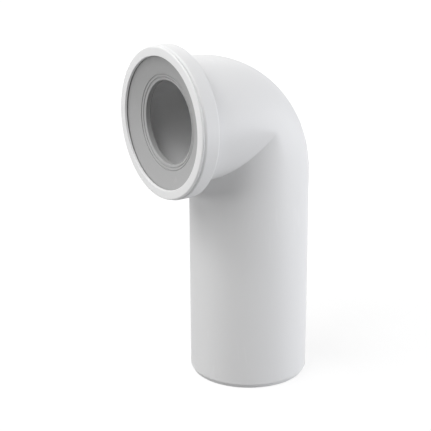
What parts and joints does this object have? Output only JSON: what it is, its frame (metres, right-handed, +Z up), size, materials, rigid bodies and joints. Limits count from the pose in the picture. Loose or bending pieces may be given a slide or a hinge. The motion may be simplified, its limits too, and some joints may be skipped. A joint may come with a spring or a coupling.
{
  "type": "toilet connection elbow",
  "caption": "White right-angle drain elbow with a long plain pipe end and a cupped inlet that holds a grey ring seal for a toilet's outlet.",
  "frame": {"origin": "middle of the pipe's lower end, on the pipe's axis", "axes": "+Z up along the pipe, away from its lower end; the inlet faces -Y; X is across, and the part is the same on both sides of X = 0"},
  "size_m": [0.1344, 0.1504, 0.3172],
  "materials": {
    "elbow_body": "smooth moulded white polypropylene with a soft sheen",
    "retaining_ring": "smooth moulded white polypropylene with a soft sheen",
    "inlet_seal": "smooth matte grey elastomer"
  },
  "bodies": {
    "root": {"elbow_body": "elbow_body", "retaining_ring": "retaining_ring", "inlet_seal": "inlet_seal"}
  },
  "joints": []
}
